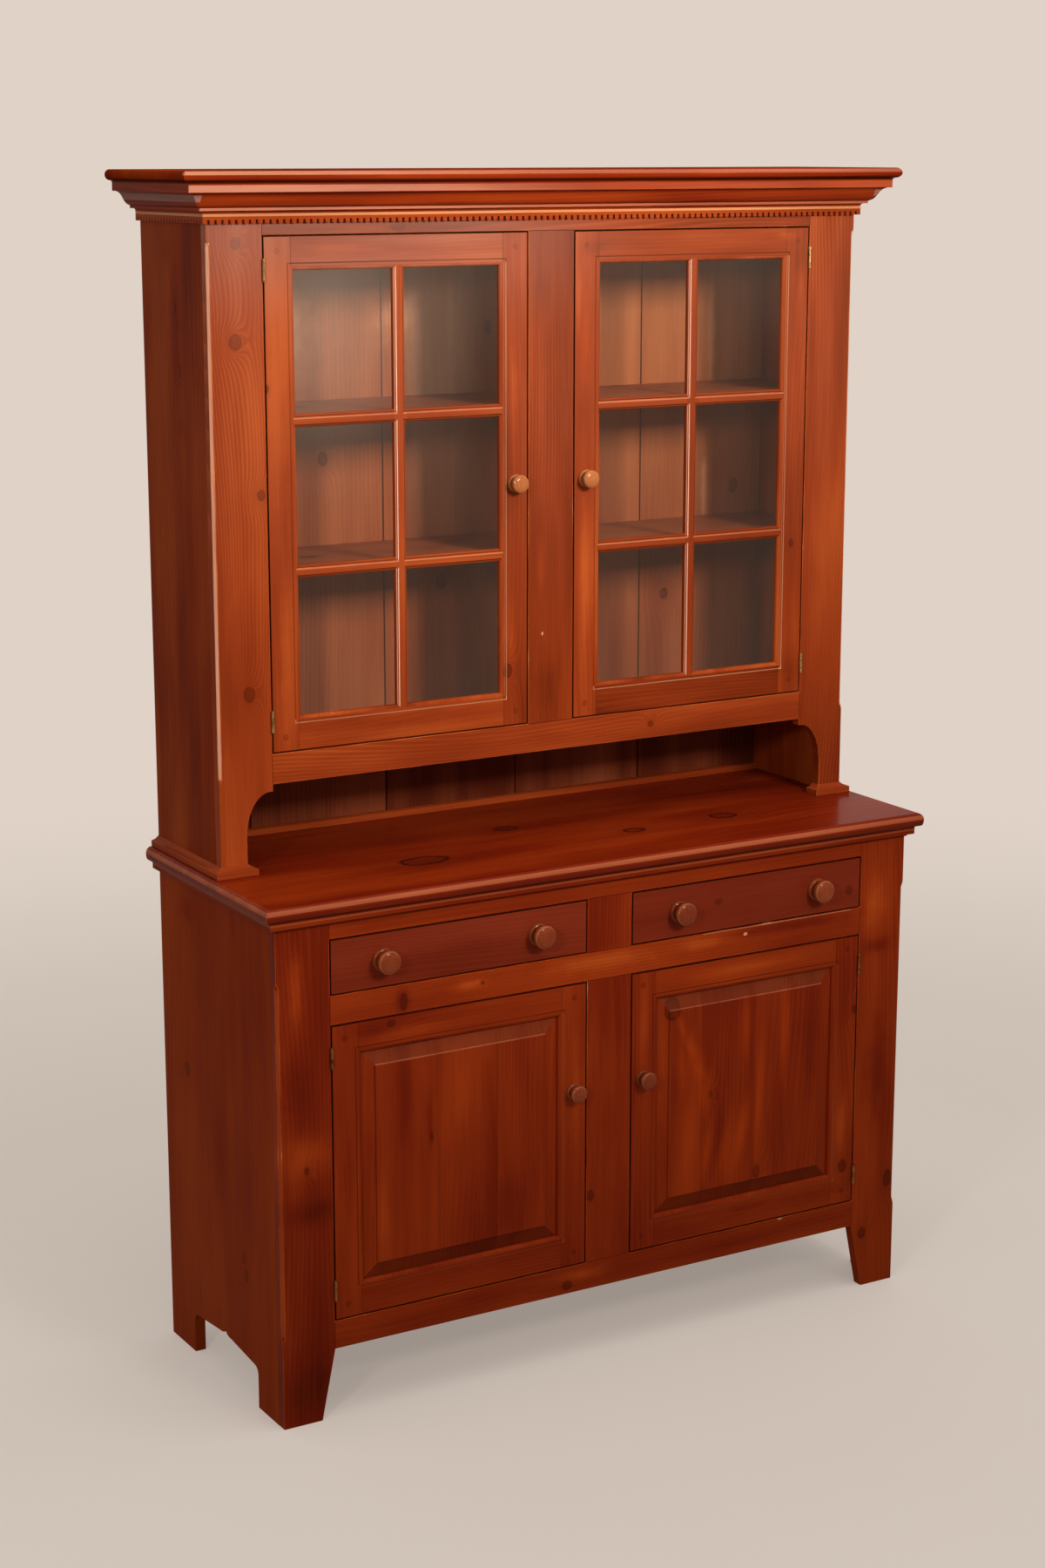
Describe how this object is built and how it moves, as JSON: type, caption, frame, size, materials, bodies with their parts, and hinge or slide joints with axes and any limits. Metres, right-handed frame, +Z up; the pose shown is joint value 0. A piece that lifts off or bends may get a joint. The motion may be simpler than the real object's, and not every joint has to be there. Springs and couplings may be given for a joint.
{
  "type": "step back cupboard",
  "caption": "Stained pine step back cupboard: a panelled base with drawers and a counter carries a shallower glazed case with shelves, for dishes and linen.",
  "frame": {"origin": "on the floor, in the middle of the footprint's bounding box", "axes": "+X to the right as seen from the front, +Y towards the back, so the doors face -Y, and +Z up"},
  "size_m": [1.426, 0.5052, 2.105],
  "materials": {
    "stained_pine": "red-brown stained knotty pine under a satin lacquer",
    "stained_pine_side": "the same stained pine, in wide vertical boards",
    "stained_pine_inside": "stained pine under a duller lacquer",
    "stained_pine_drawer": "darker red stained pine under a satin lacquer",
    "bare_pine": "planed pine without stain",
    "glass": "clear window glass, slightly wavy",
    "brass": "aged brass, slightly dull"
  },
  "bodies": {
    "case": {"base_side_left": "stained_pine_side", "base_side_right": "stained_pine_side", "base_bottom_board": "stained_pine_inside", "base_shelf": "stained_pine_inside", "base_back": "stained_pine_inside", "base_face_frame": "stained_pine", "drawer_deck": "bare_pine", "counter_board": "stained_pine", "counter_moulding": "stained_pine", "upper_side_left": "stained_pine_side", "upper_side_right": "stained_pine_side", "upper_floor_board": "stained_pine_inside", "upper_shelf_lower": "stained_pine_inside", "upper_shelf_upper": "stained_pine_inside", "upper_back": "stained_pine_inside", "upper_face_frame": "stained_pine", "top_board": "stained_pine", "crown_moulding": "stained_pine", "dentil_moulding": "stained_pine", "foot_moulding_left": "stained_pine", "foot_moulding_right": "stained_pine", "back_ledger": "stained_pine_inside", "upper_door_left_hinge_bottom_frame_leaf": "brass", "upper_door_left_hinge_top_frame_leaf": "brass", "upper_door_right_hinge_bottom_frame_leaf": "brass", "upper_door_right_hinge_top_frame_leaf": "brass", "lower_door_left_hinge_bottom_frame_leaf": "brass", "lower_door_left_hinge_top_frame_leaf": "brass", "lower_door_right_hinge_bottom_frame_leaf": "brass", "lower_door_right_hinge_top_frame_leaf": "brass"},
    "upper_door_left": {"upper_door_left_frame": "stained_pine", "upper_door_left_muntins": "stained_pine", "upper_door_left_glass": "glass", "upper_door_left_knob": "stained_pine", "upper_door_left_hinge_bottom_door_leaf": "brass", "upper_door_left_hinge_top_door_leaf": "brass"},
    "upper_door_right": {"upper_door_right_frame": "stained_pine", "upper_door_right_muntins": "stained_pine", "upper_door_right_glass": "glass", "upper_door_right_knob": "stained_pine", "upper_door_right_hinge_bottom_door_leaf": "brass", "upper_door_right_hinge_top_door_leaf": "brass"},
    "lower_door_left": {"lower_door_left_frame": "stained_pine", "lower_door_left_panel": "stained_pine", "lower_door_left_knob": "stained_pine", "lower_door_left_hinge_bottom_door_leaf": "brass", "lower_door_left_hinge_top_door_leaf": "brass"},
    "lower_door_right": {"lower_door_right_frame": "stained_pine", "lower_door_right_panel": "stained_pine", "lower_door_right_knob": "stained_pine", "lower_door_right_hinge_bottom_door_leaf": "brass", "lower_door_right_hinge_top_door_leaf": "brass"},
    "drawer_left": {"drawer_left_front": "stained_pine_drawer", "drawer_left_box": "bare_pine", "drawer_left_knob_left": "stained_pine_drawer", "drawer_left_knob_right": "stained_pine_drawer"},
    "drawer_right": {"drawer_right_front": "stained_pine_drawer", "drawer_right_box": "bare_pine", "drawer_right_knob_left": "stained_pine_drawer", "drawer_right_knob_right": "stained_pine_drawer"}
  },
  "joints": [
    {"name": "upper_door_left_swing", "type": "hinge", "parent": "case", "child": "upper_door_left", "pos_m": [-0.5504, -0.0196, 1.56775], "axis": [0, 0, -1], "range_deg": [0, 165]},
    {"name": "upper_door_right_swing", "type": "hinge", "parent": "case", "child": "upper_door_right", "pos_m": [0.5504, -0.0196, 1.56775], "axis": [0, 0, 1], "range_deg": [0, 165]},
    {"name": "lower_door_left_swing", "type": "hinge", "parent": "case", "child": "lower_door_left", "pos_m": [-0.5504, -0.2246, 0.443], "axis": [0, 0, -1], "range_deg": [0, 165]},
    {"name": "lower_door_right_swing", "type": "hinge", "parent": "case", "child": "lower_door_right", "pos_m": [0.5504, -0.2246, 0.443], "axis": [0, 0, 1], "range_deg": [0, 165]},
    {"name": "drawer_left_slide", "type": "slide", "parent": "case", "child": "drawer_left", "axis": [0, -1, 0], "range_m": [0, 0.34]},
    {"name": "drawer_right_slide", "type": "slide", "parent": "case", "child": "drawer_right", "axis": [0, -1, 0], "range_m": [0, 0.34]}
  ]
}
